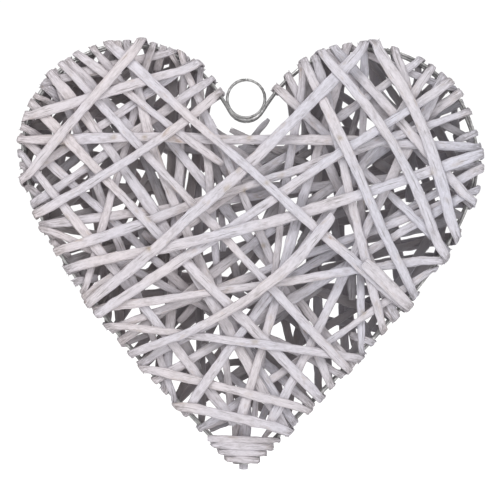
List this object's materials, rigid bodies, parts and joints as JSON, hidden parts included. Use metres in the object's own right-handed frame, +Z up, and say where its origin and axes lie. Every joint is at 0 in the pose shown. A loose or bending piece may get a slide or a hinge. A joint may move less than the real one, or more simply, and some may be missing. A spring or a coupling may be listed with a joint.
{
  "type": "wicker heart ornament",
  "caption": "Heart-shaped hanging ornament: whitewashed willow rods wound criss-cross over a double wire heart, with a wire ring at the cleft.",
  "frame": {"origin": "inside top of the hanging ring's hole, where a hook or pin holds it, in the heart's middle plane", "axes": "+Z up from the tip towards the ring, -Y out of the front, +X to the right seen from the front"},
  "size_m": [0.3024, 0.0699, 0.2789],
  "materials": {
    "wire": "dull grey galvanised",
    "willow": "matt whitewash, rubbed thin"
  },
  "bodies": {
    "root": {"wire_frame": "wire", "hanging_ring": "wire", "tip_binding": "willow", "tip_stub": "willow", "willow_rod_01": "willow", "willow_rod_02": "willow", "willow_rod_03": "willow", "willow_rod_04": "willow", "willow_rod_05": "willow", "willow_rod_06": "willow", "willow_rod_07": "willow", "willow_rod_08": "willow", "willow_rod_09": "willow", "willow_rod_10": "willow", "willow_rod_11": "willow", "willow_rod_12": "willow", "willow_rod_13": "willow", "willow_rod_14": "willow", "willow_rod_15": "willow", "willow_rod_16": "willow", "willow_rod_17": "willow", "willow_rod_18": "willow", "willow_rod_19": "willow", "willow_rod_20": "willow", "willow_rod_21": "willow", "willow_rod_22": "willow", "willow_rod_23": "willow", "willow_rod_24": "willow", "willow_rod_25": "willow", "willow_rod_26": "willow", "willow_rod_27": "willow", "willow_rod_28": "willow"}
  },
  "joints": []
}
